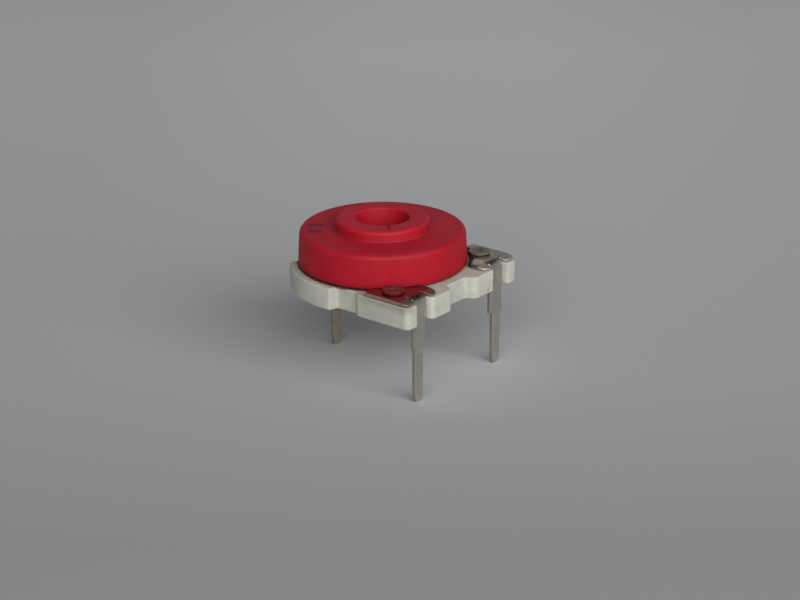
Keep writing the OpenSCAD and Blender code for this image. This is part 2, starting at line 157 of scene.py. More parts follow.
# End terminals and their rivets
FILM_TOP = pad_high.z
PLATE_TOP = plate_high.z
DISC_GAP = 0.15
PLATE_IN_R = DISC_R + DISC_GAP
PLATE_BACK_X = plate_low.x
PLATE_FRONT_X = plate_high.x
PLATE_IN_Y = plate_low.y
PLATE_OUT_Y = plate_high.y
SLOT_L = 0.15
SLOT_W = 0.12
FRONT_W = 0.22
CREASE_X = 7.2
COINED = math.radians(12)
RIVET_X = (rivet_low.x + rivet_high.x) / 2
RIVET_Y = (rivet_low.y + rivet_high.y) / 2
RIVET_R = 0.875
RIVET_H = 0.22
RIGHT_FLARE = 0.14
LEFT_FLARE = 0.05
SHANK_R = 0.5
LOWER_HEAD_R = 0.725
CUP_R = 0.35
CUP_FLOOR_R = 0.21
CUP_DEPTH = 0.12


# ------------------------------------------------------------- modelling helpers
def deselect():
    bpy.ops.object.select_all(action="DESELECT")


def pick(obj):
    """Selects one object alone, for the operators that follow."""
    deselect()
    obj.select_set(True)
    bpy.context.view_layer.objects.active = obj


def settle(obj):
    """Puts the object's place, turn and size into its mesh."""
    pick(obj)
    bpy.ops.object.transform_apply(location=True, rotation=True, scale=True)


def block(low, high):
    """A box between two corners."""
    deselect()
    low, high = Vector(low), Vector(high)
    bpy.ops.mesh.primitive_cube_add(size=1, location=(low + high) / 2)
    made = bpy.context.object
    made.scale = high - low
    settle(made)
    return made


def rod(radius, low_z, high_z, sides):
    """A round rod on the Z axis."""
    deselect()
    bpy.ops.mesh.primitive_cylinder_add(
        vertices=sides, radius=radius, depth=high_z - low_z, location=(0, 0, (low_z + high_z) / 2)
    )
    made = bpy.context.object
    settle(made)
    return made


def start_edit(obj):
    pick(obj)
    bpy.ops.object.mode_set(mode="EDIT")
    bpy.ops.mesh.select_all(action="DESELECT")


def end_edit():
    bpy.ops.object.mode_set(mode="OBJECT")


def select_all():
    bpy.ops.mesh.select_all(action="SELECT")


def select(kind, test):
    """Selects only the faces, edges or points that pass the test."""
    bpy.ops.mesh.select_mode(type=kind)
    bpy.ops.mesh.select_all(action="DESELECT")
    data = bpy.context.edit_object.data
    mesh = bmesh.from_edit_mesh(data)
    for item in {"FACE": mesh.faces, "EDGE": mesh.edges, "VERT": mesh.verts}[kind]:
        if test(item):
            item.select_set(True)
    bmesh.update_edit_mesh(data)


def select_faces(test):
    """Selects the faces that pass test(centre, normal)."""
    select("FACE", lambda face: test(face.calc_center_median(), face.normal))


def select_edges(test):
    """Selects the edges that pass test(one end, other end, turn between their faces)."""
    select("EDGE", lambda edge: test(edge.verts[0].co, edge.verts[1].co, edge.calc_face_angle(0)))


def select_points(test):
    """Selects the points whose place passes the test."""
    select("VERT", lambda point: test(point.co))


def near(a, b, within=0.004):
    return abs(a - b) < within


def ring_edge(radius, z):
    """Test for the edges of one ring around the Z axis."""
    def test(a, b, turn):
        return all(near(p.z, z) and near(p.xy.length, radius, 0.01) for p in (a, b))
    return test


def rim_edge(z, clear_of):
    """Test for the sharp edges at one height, outside a radius around the Z axis."""
    def test(a, b, turn):
        level = near(a.z, z) and near(b.z, z)
        return level and turn > 0.6 and min(a.xy.length, b.xy.length) > clear_of
    return test


def corner_edge(x, y, within=0.03):
    """Test for the upright edges at one place in plan."""
    def test(a, b, turn):
        upright = (a.xy - b.xy).length < 0.001
        return upright and near(a.x, x, within) and near(a.y, y, within)
    return test


def cross_edge(y, z):
    """Test for the edges along X at one place in the front view."""
    def test(a, b, turn):
        along = near(a.y, b.y, 0.001) and near(a.z, b.z, 0.001)
        return along and near(a.y, y, 0.01) and near(a.z, z, 0.01)
    return test


def round_edges(test, radius, segments):
    select_edges(test)
    bpy.ops.mesh.bevel(offset=radius, offset_type="OFFSET", segments=segments, affect="EDGES")


def round_rings(*rings):
    """Rounds edges that run around the Z axis, given as radius, height, rounding and steps."""
    for radius, z, rounding, steps in rings:
        round_edges(ring_edge(radius, z), rounding, steps)


def inset(width):
    bpy.ops.mesh.inset(thickness=width, depth=0)


def extrude(x=0.0, z=0.0):
    bpy.ops.mesh.extrude_region_move(TRANSFORM_OT_translate={"value": (x, 0, z)})


def stretch(x=1.0, y=1.0, about=(0, 0, 0)):
    bpy.ops.transform.resize(value=(x, y, 1), center_override=about)


def resize_ring(radius, new_radius):
    """Brings what is selected from one radius around the Z axis to another."""
    stretch(x=new_radius / radius, y=new_radius / radius)


def cut_across(place, direction, **settings):
    """Cuts the whole mesh along a plane."""
    select_all()
    bpy.ops.mesh.bisect(plane_co=place, plane_no=direction, **settings)


def delete_faces():
    bpy.ops.mesh.delete(type="FACE")


def weld():
    """Merges the points that meet, and turns all faces outwards."""
    select_all()
    bpy.ops.mesh.remove_doubles(threshold=0.003)
    bpy.ops.mesh.normals_make_consistent(inside=False)


def apply_modifier(obj, kind, **settings):
    pick(obj)
    modifier = obj.modifiers.new(kind.lower(), kind)
    for name, value in settings.items():
        setattr(modifier, name, value)
    bpy.ops.object.modifier_apply(modifier=modifier.name)


def combine(obj, tool, operation="DIFFERENCE"):
    """Cuts the tool out of the piece, or joins it on, and takes the tool away."""
    apply_modifier(obj, "BOOLEAN", operation=operation, object=tool, solver="EXACT")
    bpy.data.objects.remove(tool)


def clean(obj, merge=0.0005):
    """Merges doubled points and the flat faces that a cut leaves in pieces."""
    start_edit(obj)
    select_all()
    bpy.ops.mesh.remove_doubles(threshold=merge)
    bpy.ops.mesh.dissolve_limited(angle_limit=math.radians(0.1))
    bpy.ops.mesh.normals_make_consistent(inside=False)
    end_edit()


def soften(obj, width):
    """Rounds every sharp edge that is left, once the cuts are cleaned up."""
    clean(obj)
    apply_modifier(
        obj, "BEVEL", width=width, segments=3, limit_method="ANGLE",
        angle_limit=math.radians(35), use_clamp_overlap=False,
    )


def finish_piece(obj, name, material, slot, body, *nodes):
    """Names the piece, brings it to metres, smooths it and puts it in its CAD node's place."""
    obj.name = name
    obj.data.name = name
    start_edit(obj)
    select_all()
    bpy.ops.mesh.remove_doubles(threshold=0.001)
    bpy.ops.mesh.dissolve_degenerate(threshold=0.001)
    end_edit()
    obj.scale = (MM, MM, MM)
    settle(obj)
    bpy.ops.object.shade_smooth_by_angle(angle=math.radians(50))
    apply_modifier(obj, "WEIGHTED_NORMAL", mode="FACE_AREA", weight=50, keep_sharp=True)
    obj.data.materials.clear()
    obj.data.materials.append(material)
    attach(obj, body)
    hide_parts(*nodes)


# ---------------------------------------------------------------------- pieces
def moulded_rotor():
    disc = rod(DISC_R, DISC_Z, DISC_TOP, ROUND)
    start_edit(disc)
    # From the upper face: draft, collar and bore
    select_faces(lambda c, n: n.z > 0.9)
    resize_ring(DISC_R, DISC_TOP_R)
    inset(DISC_TOP_R - COLLAR_R)
    extrude(z=COLLAR_TOP - DISC_TOP)
    inset(COLLAR_R - BORE_R)
    extrude(z=HUB_Z - COLLAR_TOP)
    delete_faces()
    # From the lower face: rim, hollow and hub with the ring's groove
    select_faces(lambda c, n: n.z < -0.9 and near(c.z, DISC_Z))
    inset(DISC_R - HOLLOW_R)
    extrude(z=ROOF_Z - DISC_Z)
    inset(HOLLOW_R - HUB_R)
    extrude(z=CLIP_TOP - ROOF_Z)
    inset(HUB_R - GROOVE_R)
    extrude(z=CLIP_Z - CLIP_TOP)
    extrude()
    resize_ring(GROOVE_R, HUB_R)
    extrude(z=HUB_Z - CLIP_Z)
    inset(HUB_R - BORE_R)
    delete_faces()
    weld()
    round_rings(
        (DISC_TOP_R, DISC_TOP, 0.42, 7),
        (DISC_R, DISC_Z, 0.14, 4),
        (COLLAR_R, DISC_TOP, 0.12, 3),
        (COLLAR_R, COLLAR_TOP, 0.3, 6),
        (BORE_R, COLLAR_TOP, 0.1, 3),
        (HUB_R, HUB_Z, 0.15, 2),
        (BORE_R, HUB_Z, 0.1, 2),
        (HOLLOW_R, DISC_Z, 0.06, 2),
    )
    end_edit()
    # The pointer is a V groove from the bore into the collar's top
    groove = block(
        (BORE_R - CUT, -POINTER_HALF, COLLAR_TOP - POINTER_DEPTH),
        (BORE_R + POINTER_L, POINTER_HALF, COLLAR_TOP),
    )
    start_edit(groove)
    select_faces(lambda c, n: n.z < -0.9)
    stretch(y=0.05)
    select_faces(lambda c, n: n.z > 0.9)
    extrude(z=CUT)
    end_edit()
    groove.rotation_euler = (0, 0, POINTER_ANGLE)
    settle(groove)
    combine(disc, groove)
    return disc


def on_arc(radius, step):
    """The point of one of the base's arcs at a step from the front."""
    return radius * math.cos(step * STEP), radius * math.sin(step * STEP)


def step_back(plate, side_end, back_start, under, over):
    """Makes the back smaller between the round sides, with a slope on each side."""
    waste = rod(BASE_R + CUT, under, over, ROUND)
    combine(waste, rod(BACK_R, under - CUT, over + CUT, ROUND))
    start_edit(waste)
    for side in (-1, 1):
        slope = (side_end[1] - back_start[1], side * (back_start[0] - side_end[0]), 0)
        cut_across((back_start[0], side * back_start[1], 0), slope, clear_outer=True, use_fill=True)
    end_edit()
    combine(plate, waste)


def ceramic_base():
    plate = rod(BASE_R, BASE_Z, BASE_TOP, ROUND)
    start_edit(plate)
    # The round sides end at the waist, and the lugs grow out of the flat cut there
    waist_x, waist_start_y = on_arc(BASE_R, WAIST_STEP)
    cut_across((waist_x, 0, 0), (1, 0, 0), clear_outer=True, use_fill=True)
    select_faces(lambda c, n: n.x > 0.99)
    outline = (
        (waist_x, waist_start_y),
        (waist_x + WAIST_SLOPE, WAIST_Y),
        (LUG_BACK_X - LUG_SLOPE, WAIST_Y),
        (LUG_BACK_X, LUG_Y),
        (LUG_X, LUG_Y),
    )
    for (x0, y0), (x1, y1) in zip(outline, outline[1:]):
        extrude(x=x1 - x0)
        stretch(y=y1 / y0)
    end_edit()
    over, under = BASE_TOP + CUT, BASE_Z - CUT
    for side in (-1, 1):
        low, high = sorted((side * NOTCH_IN_Y, side * NOTCH_OUT_Y))
        combine(plate, block((NOTCH_X, low, under), (LUG_X + CUT, high, over)))
    hollow = block((HOLLOW_X, -HOLLOW_BACK_Y, under), (LUG_X, HOLLOW_BACK_Y, over))
    start_edit(hollow)
    select_faces(lambda c, n: n.x > 0.9)
    stretch(y=HOLLOW_Y / HOLLOW_BACK_Y)
    extrude(x=CUT)
    end_edit()
    combine(plate, hollow)
    combine(plate, rod(HOLE_R, under, over, 96))
    side_end = on_arc(BASE_R, SIDE_STEP)
    back_start = on_arc(BACK_R, BACK_STEP)
    step_back(plate, side_end, back_start, under, over)
    clean(plate, merge=0.004)
    start_edit(plate)
    # A cut along the middle, so that no flat face runs round a hole
    cut_across((0, 0, 0), (0, 1, 0))
    # The seams that the waist's slope leaves across the flat faces go
    select_edges(lambda a, b, turn: (
        turn < 0.01 and near(a.x, b.x) and near(a.z, b.z)
        and near(a.x, waist_x + WAIST_SLOPE / 2, WAIST_SLOPE / 2 + 0.005)
    ))
    bpy.ops.mesh.dissolve_edges(use_verts=False)
    for x, y, rounding in (
        (*side_end, 0.23),
        (*back_start, 0.2),
        (waist_x, waist_start_y, 0.23),
        (waist_x + WAIST_SLOPE, WAIST_Y, 0.2),
        (LUG_BACK_X - LUG_SLOPE, WAIST_Y, 0.2),
        (LUG_BACK_X, LUG_Y, 0.22),
        (LUG_X, LUG_Y, 0.5),
        (LUG_X, NOTCH_OUT_Y, 0.3),
        (NOTCH_X, NOTCH_OUT_Y, 0.25),
        (NOTCH_X, NOTCH_IN_Y, 0.25),
        (LUG_X, NOTCH_IN_Y, 0.4),
        (LUG_X, HOLLOW_Y, 0.45),
        (HOLLOW_X, HOLLOW_BACK_Y, 0.3),
    ):
        for side in (-1, 1):
            round_edges(corner_edge(x, side * y), rounding, 6)
    # The pressed rims are soft all round
    for z in (BASE_TOP, BASE_Z):
        round_edges(rim_edge(z, HOLE_R + 0.5), PRESSED_ROUND, 4)
    end_edit()
    return plate


def bend_down(x, z):
    """Carries the selected end of a sheet a quarter turn down, round an axis along Y."""
    bpy.ops.mesh.spin(steps=BEND_STEPS, angle=-math.radians(90), center=(x, 0, z), axis=(0, 1, 0))


def draw_pin(end_z, strip_in, strip_out, pin_y):
    """Draws the selected end of a strip down to the shoulders, the pin and its tip."""
    middle = (strip_in + strip_out) / 2
    narrow = 2 * PIN_HALF / (strip_out - strip_in)
    fixed_y = (pin_y - narrow * middle) / (1 - narrow)
    extrude(z=SHOULDER_Z - end_z)
    extrude()
    stretch(y=narrow, about=(0, fixed_y, 0))
    extrude(z=TIP_H - SHOULDER_Z)
    extrude(z=-TIP_H)
    stretch(y=TIP_HALF / PIN_HALF, about=(0, pin_y, 0))
    for y, z, rounding in (
        (strip_in, SHOULDER_Z, 0.11),
        (pin_y - PIN_HALF, SHOULDER_Z, 0.06),
        (pin_y + PIN_HALF, SHOULDER_Z, 0.06),
        (strip_out, SHOULDER_Z, 0.07),
        (pin_y - PIN_HALF, TIP_H, 0.1),
        (pin_y + PIN_HALF, TIP_H, 0.1),
        (pin_y - TIP_HALF, 0, 0.12),
        (pin_y + TIP_HALF, 0, 0.12),
    ):
        round_edges(cross_edge(y, z), rounding, 4)


def end_terminal(side):
    bend_x = PIN_X - SHEET / 2 - BEND_R
    under, over = FILM_TOP - CUT, PLATE_TOP + CUT
    blank = block((PLATE_BACK_X, PLATE_IN_Y, FILM_TOP), (PLATE_FRONT_X, PLATE_OUT_Y, PLATE_TOP))
    combine(blank, rod(PLATE_IN_R, under, over, 128))
    # The wide cut in front of the bend, and a slot on each side of the tongue
    front = block((bend_x, STRIP_IN_Y - SLOT_W, under), (PLATE_FRONT_X, STRIP_OUT_Y + SLOT_W, over))
    start_edit(front)
    select_faces(lambda c, n: n.x > 0.9)
    stretch(y=(STRIP_HALF + FRONT_W) / (STRIP_HALF + SLOT_W), about=(0, STRIP_Y, 0))
    extrude(x=CUT)
    end_edit()
    combine(blank, front)
    for low, high in ((STRIP_IN_Y - SLOT_W, STRIP_IN_Y), (STRIP_OUT_Y, STRIP_OUT_Y + SLOT_W)):
        combine(blank, block((bend_x - SLOT_L, low, under), (bend_x + 0.02, high, over)))
    clean(blank)
    start_edit(blank)
    inner_x = math.sqrt(PLATE_IN_R ** 2 - PLATE_IN_Y ** 2)
    for x, y, rounding, within in (
        (PLATE_BACK_X, PLATE_OUT_Y, 0.3, 0.02),
        (PLATE_FRONT_X, PLATE_OUT_Y, 0.45, 0.02),
        (PLATE_FRONT_X, STRIP_OUT_Y + FRONT_W, 0.15, 0.03),
        (PLATE_FRONT_X, STRIP_IN_Y - FRONT_W, 0.15, 0.03),
        (PLATE_FRONT_X, PLATE_IN_Y, 0.5, 0.02),
        (inner_x, PLATE_IN_Y, 0.25, 0.02),
    ):
        round_edges(corner_edge(x, y, within), rounding, 6)
    # The tool that bends the tongue presses both wings thinner towards the front
    cut_across((CREASE_X, 0, 0), (1, 0, 0))
    select_points(lambda p: p.x > CREASE_X + 0.001 and near(p.z, PLATE_TOP))
    bpy.ops.transform.rotate(
        value=-COINED, orient_axis="Y", center_override=(CREASE_X, 0, PLATE_TOP)
    )
    select_faces(lambda c, n: n.x > 0.99 and near(c.x, bend_x) and near(c.y, STRIP_Y, 0.05))
    bend_down(bend_x, FILM_TOP - BEND_R)
    draw_pin(FILM_TOP - BEND_R, STRIP_IN_Y, STRIP_OUT_Y, PIN_Y)
    if side < 0:
        select_all()
        stretch(y=-1)
    end_edit()
    soften(blank, 0.04)
    return blank


def wiper_terminal():
    """A ring under the base plate with a tongue, which is bent down into the back pin."""
    top, bottom = BASE_Z, BASE_Z - SHEET
    half = PIN_HALF + SHOULDER_OUT
    bend_x = WIPER_PIN_X - SHEET / 2 - BEND_R
    blank = rod(WIPER_RING_R, bottom, top, 96)
    combine(blank, block((0, -half, bottom), (bend_x, half, top)), "UNION")
    combine(blank, rod(HOLE_R, bottom - CUT, top + CUT, 96))
    clean(blank)
    start_edit(blank)
    root_x = math.sqrt(WIPER_RING_R ** 2 - half ** 2)
    for side in (-1, 1):
        round_edges(corner_edge(root_x, side * half, 0.06), 0.2, 4)
    select_faces(lambda c, n: n.x > 0.99 and near(c.x, bend_x) and near(c.y, 0, 0.05))
    bend_down(bend_x, bottom - BEND_R)
    draw_pin(bottom - BEND_R, -half, half, 0)
    select_all()
    stretch(x=-1)
    end_edit()
    soften(blank, 0.04)
    return blank


def end_rivet(side, flare):
    """A rivet with cupped heads. The upper one is wider than its foot on the plate."""
    head_top = PLATE_TOP + RIVET_H
    flared_z = PLATE_TOP + RIVET_H / 2
    foot_r = RIVET_R - flare
    rivet = rod(RIVET_R, flared_z, head_top, 64)
    start_edit(rivet)
    select_faces(lambda c, n: n.z > 0.9)
    inset(RIVET_R - CUP_R)
    extrude(z=-CUP_DEPTH)
    resize_ring(CUP_R, CUP_FLOOR_R)
    select_faces(lambda c, n: n.z < -0.9)
    extrude(z=PLATE_TOP - flared_z)
    resize_ring(RIVET_R, foot_r)
    inset(foot_r - SHANK_R)
    extrude(z=BASE_Z - PLATE_TOP)
    extrude()
    resize_ring(SHANK_R, LOWER_HEAD_R)
    extrude(z=-RIVET_H)
    inset(LOWER_HEAD_R - CUP_R)
    extrude(z=CUP_DEPTH)
    round_rings(
        (RIVET_R, head_top, 0.05, 4),
        (RIVET_R, flared_z, 0.04, 3),
        (CUP_R, head_top, 0.06, 3),
        (CUP_FLOOR_R, head_top - CUP_DEPTH, 0.05, 2),
        (LOWER_HEAD_R, BASE_Z - RIVET_H, 0.12, 4),
        (CUP_R, BASE_Z - RIVET_H, 0.06, 3),
    )
    end_edit()
    rivet.location = (RIVET_X, side * RIVET_Y, 0)
    settle(rivet)
    return rivet


def centre_eyelet():
    bottom, top = eyelet_low.z, eyelet_high.z
    tube = rod(LOWER_FLANGE_R, bottom, bottom + FLANGE_T, 96)
    start_edit(tube)
    select_faces(lambda c, n: n.z > 0.9)
    inset(LOWER_FLANGE_R - TUBE_R)
    extrude(z=top - bottom - 2 * FLANGE_T)
    extrude()
    resize_ring(TUBE_R, UPPER_FLANGE_R)
    extrude(z=FLANGE_T)
    inset(UPPER_FLANGE_R - TUBE_IN_R)
    extrude(z=bottom - top)
    delete_faces()
    select_faces(lambda c, n: n.z < -0.9 and near(c.z, bottom))
    inset(LOWER_FLANGE_R - TUBE_IN_R)
    delete_faces()
    weld()
    round_rings(
        (LOWER_FLANGE_R, bottom, 0.12, 4),
        (TUBE_IN_R, bottom, 0.12, 4),
        (UPPER_FLANGE_R, top, 0.12, 4),
        (TUBE_IN_R, top, 0.12, 4),
    )
    end_edit()
    return tube


def retaining_ring():
    under, over = CLIP_Z - CUT, CLIP_TOP + CUT
    ring = rod(CLIP_R, CLIP_Z, CLIP_TOP - CLIP_PLAY, 72)
    combine(ring, rod(GROOVE_R + CLIP_GAP, under, over, 72))
    combine(ring, block((0, -SPLIT_HALF, under), (CLIP_R + CUT, SPLIT_HALF, over)))
    soften(ring, 0.05)
    return ring


# ------------------------------------------------------------- shader helpers
def node(tree, kind, inputs=None, **settings):
    """Adds a shader node. Inputs are values, or outputs of other nodes."""
    made = tree.nodes.new("ShaderNode" + kind)
    for name, value in settings.items():
        setattr(made, name, value)
    for name, value in (inputs or {}).items():
        if isinstance(value, bpy.types.NodeSocket):
            tree.links.new(value, made.inputs[name])
        else:
            made.inputs[name].default_value = value
    return made


def calc(tree, operation, a, b=0.0, clamp=False):
    return node(tree, "Math", {0: a, 1: b}, operation=operation, use_clamp=clamp).outputs[0]


def times(tree, value, *others):
    for other in others:
        value = calc(tree, "MULTIPLY", value, other)
    return value


def plus(tree, value, *others):
    for other in others:
        value = calc(tree, "ADD", value, other)
    return value


def minus(tree, a, b):
    return calc(tree, "SUBTRACT", a, b)


def apart(tree, a, b):
    """The difference of two values, without its sign."""
    return calc(tree, "ABSOLUTE", minus(tree, a, b))


def vector(tree, operation, a, b, result=0):
    return node(tree, "VectorMath", {0: a, 1: b}, operation=operation).outputs[result]


def parts(tree, a):
    """The X, Y and Z of a place or a direction."""
    return node(tree, "SeparateXYZ", {0: a}).outputs


def length(tree, a):
    return node(tree, "VectorMath", {0: a}, operation="LENGTH").outputs["Value"]


def off_axis(tree, place):
    """How far a place is from the Z axis."""
    return length(tree, vector(tree, "MULTIPLY", place, (1, 1, 0)))


def spread(tree, value, low, high, to_low=0.0, to_high=1.0):
    """Carries a value from one range to another, and holds it there."""
    made = node(tree, "MapRange", {
        "Value": value, "From Min": low, "From Max": high, "To Min": to_low, "To Max": to_high,
    }, clamp=True)
    return made.outputs["Result"]


def blend(tree, mask, a, b):
    """Mixes two colours by a mask."""
    made = node(tree, "Mix", data_type="RGBA")
    colours = [s for s in made.inputs if s.type == "RGBA"]
    for socket, value in ((made.inputs[0], mask), (colours[0], a), (colours[1], b)):
        if isinstance(value, bpy.types.NodeSocket):
            tree.links.new(value, socket)
        else:
            socket.default_value = value
    return next(s for s in made.outputs if s.type == "RGBA")


def coats(tree, colour, *layers):
    """Lays coats over a colour, given as the coat's mask, its strength and its own colour."""
    for mask, strength, coat in layers:
        colour = blend(tree, times(tree, mask, strength), colour, coat)
    return colour


def shade(colour, factor):
    """A plain colour made darker or lighter."""
    return [value * factor for value in colour[:3]] + [1]


def noise(tree, place, scale, detail, roughness=0.55, distortion=0.0):
    return node(tree, "TexNoise", {
        "Vector": place, "Scale": scale, "Detail": detail, "Roughness": roughness,
        "Distortion": distortion,
    }).outputs["Fac"]


def ragged_shift(tree, place, scale, reach):
    """An uneven shift of up to a reach in millimetres, which makes an edge ragged."""
    return spread(tree, noise(tree, place, scale, 4, 0.6), 0.2, 0.8, -reach, reach)


def facing(tree, axis):
    """How squarely the surface looks along one axis of its piece."""
    return parts(tree, node(tree, "TexCoord").outputs["Normal"])[axis]


# ------------------------------------------------- effects that materials share
def shared_effect(name, inputs, outputs):
    """An empty node group with named float inputs, besides the place, and float outputs."""
    tree = bpy.data.node_groups.new(name, "ShaderNodeTree")
    face = tree.interface
    face.new_socket("Place", in_out="INPUT", socket_type="NodeSocketVector")
    for label, value in inputs.items():
        face.new_socket(label, in_out="INPUT", socket_type="NodeSocketFloat").default_value = value
    for label in outputs:
        face.new_socket(label, in_out="OUTPUT", socket_type="NodeSocketFloat")
    return tree, tree.nodes.new("NodeGroupInput").outputs, tree.nodes.new("NodeGroupOutput").inputs


def make_grain():
    """Fine grain of a size in millimetres, as a tone and as a height."""
    tree, given, made = shared_effect(
        "fine_grain", {"Size": 0.1, "Contrast": 1.5}, ("Tone", "Height")
    )
    per_mm = calc(tree, "DIVIDE", 1.0, given["Size"])
    coarse = noise(tree, given["Place"], per_mm, 4)
    fine = noise(tree, given["Place"], times(tree, per_mm, 3.7), 2)
    height = plus(tree, times(tree, coarse, 0.65), times(tree, fine, 0.35))
    contrast = times(tree, minus(tree, height, 0.5), given["Contrast"])
    tree.links.new(calc(tree, "ADD", contrast, 0.5, clamp=True), made["Tone"])
    tree.links.new(height, made["Height"])
    return tree


def make_marks():
    """Smudges and hairline scratches from handling."""
    tree, given, made = shared_effect(
        "handling_marks", {"Patch": 2.5, "Scratches": 1.0}, ("Smudge", "Scratch")
    )
    per_mm = calc(tree, "DIVIDE", 1.0, given["Patch"])
    smudge = spread(tree, noise(tree, given["Place"], per_mm, 5, 0.6, 0.8), 0.46, 0.66)
    # Two sets of thin lines, where a stretched noise passes its middle value
    lines = []
    for turn, stretched in ((0.5, (0.35, 3.1, 1.0)), (2.1, (2.7, 0.3, 1.3))):
        turned = node(tree, "Mapping", {
            "Vector": given["Place"], "Rotation": (0.2, 0.3, turn), "Scale": stretched,
        }).outputs[0]
        wave = noise(tree, turned, 1.6, 1, 0.4)
        lines.append(spread(tree, apart(tree, wave, 0.5), 0.0, 0.006, 1.0, 0.0))
    gaps = spread(tree, noise(tree, given["Place"], 1.1, 2), 0.52, 0.6)
    scratch = times(tree, calc(tree, "MAXIMUM", *lines), gaps, given["Scratches"])
    tree.links.new(smudge, made["Smudge"])
    tree.links.new(scratch, made["Scratch"])
    return tree


def make_specks():
    """Scattered specks, a share of the cells that are spaced in millimetres."""
    tree, given, made = shared_effect(
        "specks", {"Spacing": 0.8, "Radius": 0.04, "Share": 0.3}, ("Mask",)
    )
    wobble = node(tree, "TexNoise", {"Vector": given["Place"], "Scale": 9.0, "Detail": 2.0})
    bent = vector(tree, "MULTIPLY", wobble.outputs["Color"], (0.1, 0.1, 0.1))
    cells = node(tree, "TexVoronoi", {
        "Vector": vector(tree, "ADD", given["Place"], bent),
        "Scale": calc(tree, "DIVIDE", 1.0, given["Spacing"]),
    }, voronoi_dimensions="3D", feature="F1")
    chance = node(tree, "SeparateColor", {"Color": cells.outputs["Color"]}).outputs
    wanted = calc(tree, "LESS_THAN", chance["Red"], given["Share"])
    reach = calc(tree, "DIVIDE", given["Radius"], given["Spacing"])
    size = times(tree, reach, plus(tree, chance["Green"], 0.4))
    from_middle = calc(tree, "DIVIDE", cells.outputs["Distance"], size)
    inside = calc(tree, "SUBTRACT", 1.0, from_middle, clamp=True)
    mask = times(tree, calc(tree, "MULTIPLY", inside, 2.5, clamp=True), wanted)
    tree.links.new(mask, made["Mask"])
    return tree


def make_edge_wear():
    """Edges and corners, broken up along their length."""
    tree, given, made = shared_effect("edge_wear", {"Width": 0.08, "Broken": 0.5}, ("Mask",))
    soft = node(tree, "Bevel", {"Radius": times(tree, given["Width"], MM)}, samples=4).outputs[0]
    hard = node(tree, "NewGeometry").outputs["Normal"]
    edge = spread(tree, vector(tree, "DOT_PRODUCT", soft, hard, "Value"), 0.995, 0.9)
    broken = spread(tree, noise(tree, given["Place"], 2.2, 4), 0.35, 0.65)
    kept = minus(tree, 1.0, times(tree, broken, given["Broken"]))
    tree.links.new(times(tree, edge, kept), made["Mask"])
    return tree


FINE_GRAIN = make_grain()
HANDLING_MARKS = make_marks()
SPECKS = make_specks()
EDGE_WEAR = make_edge_wear()


def effect(tree, group, place, **values):
    """Places a shared effect in a material, with the material's own values."""
    made = node(tree, "Group", node_tree=group)
    tree.links.new(place, made.inputs["Place"])
    for name, value in values.items():
        made.inputs[name].default_value = value
    return made.outputs


# ------------------------------------------------------------------- materials
def new_material(name):
    """A material, its tree, its shader and the place on the object in millimetres."""
    made = bpy.data.materials.new(name)
    made.use_nodes = True
    tree = made.node_tree
    shader = tree.nodes["Principled BSDF"]
    where = node(tree, "TexCoord").outputs["Object"]
    place = node(tree, "Mapping", {"Vector": where, "Scale": (1 / MM,) * 3}).outputs[0]
    return made, tree, shader, place


def surface(tree, shader, colour, roughness, height, depth, specular=0.5):
    """Connects a finished colour, roughness and relief of a depth in millimetres."""
    tree.links.new(colour, shader.inputs["Base Color"])
    tree.links.new(roughness, shader.inputs["Roughness"])
    relief = node(tree, "Bump", {"Height": height, "Strength": 1.0, "Distance": depth * MM})
    tree.links.new(relief.outputs[0], shader.inputs["Normal"])
    shader.inputs["Specular IOR Level"].default_value = specular


INK_TURN = math.radians(139.5)
INK_R = 5.35
INK_APART = 0.72


def ink_bars(tree, place):
    """Two short worn bars side by side on the disc, which point at its middle."""
    turned = node(tree, "Mapping", {"Vector": place, "Rotation": (0, 0, INK_TURN)}).outputs[0]
    axis = parts(tree, turned)
    shift = times(tree, minus(tree, noise(tree, place, 7.0, 4), 0.5), 0.28)
    along = plus(tree, apart(tree, axis["X"], INK_R), shift)
    across = apart(tree, calc(tree, "ABSOLUTE", axis["Y"]), INK_APART)
    aside = plus(tree, across, shift)
    bar = times(
        tree, spread(tree, along, 0.5, 0.72, 1, 0), spread(tree, aside, 0.22, 0.5, 1, 0),
        calc(tree, "GREATER_THAN", axis["Z"], DISC_TOP - 0.06),
    )
    worn = spread(tree, noise(tree, place, 3.5, 5, 0.7), 0.36, 0.62, 0.5, 0.88)
    return times(tree, bar, worn)


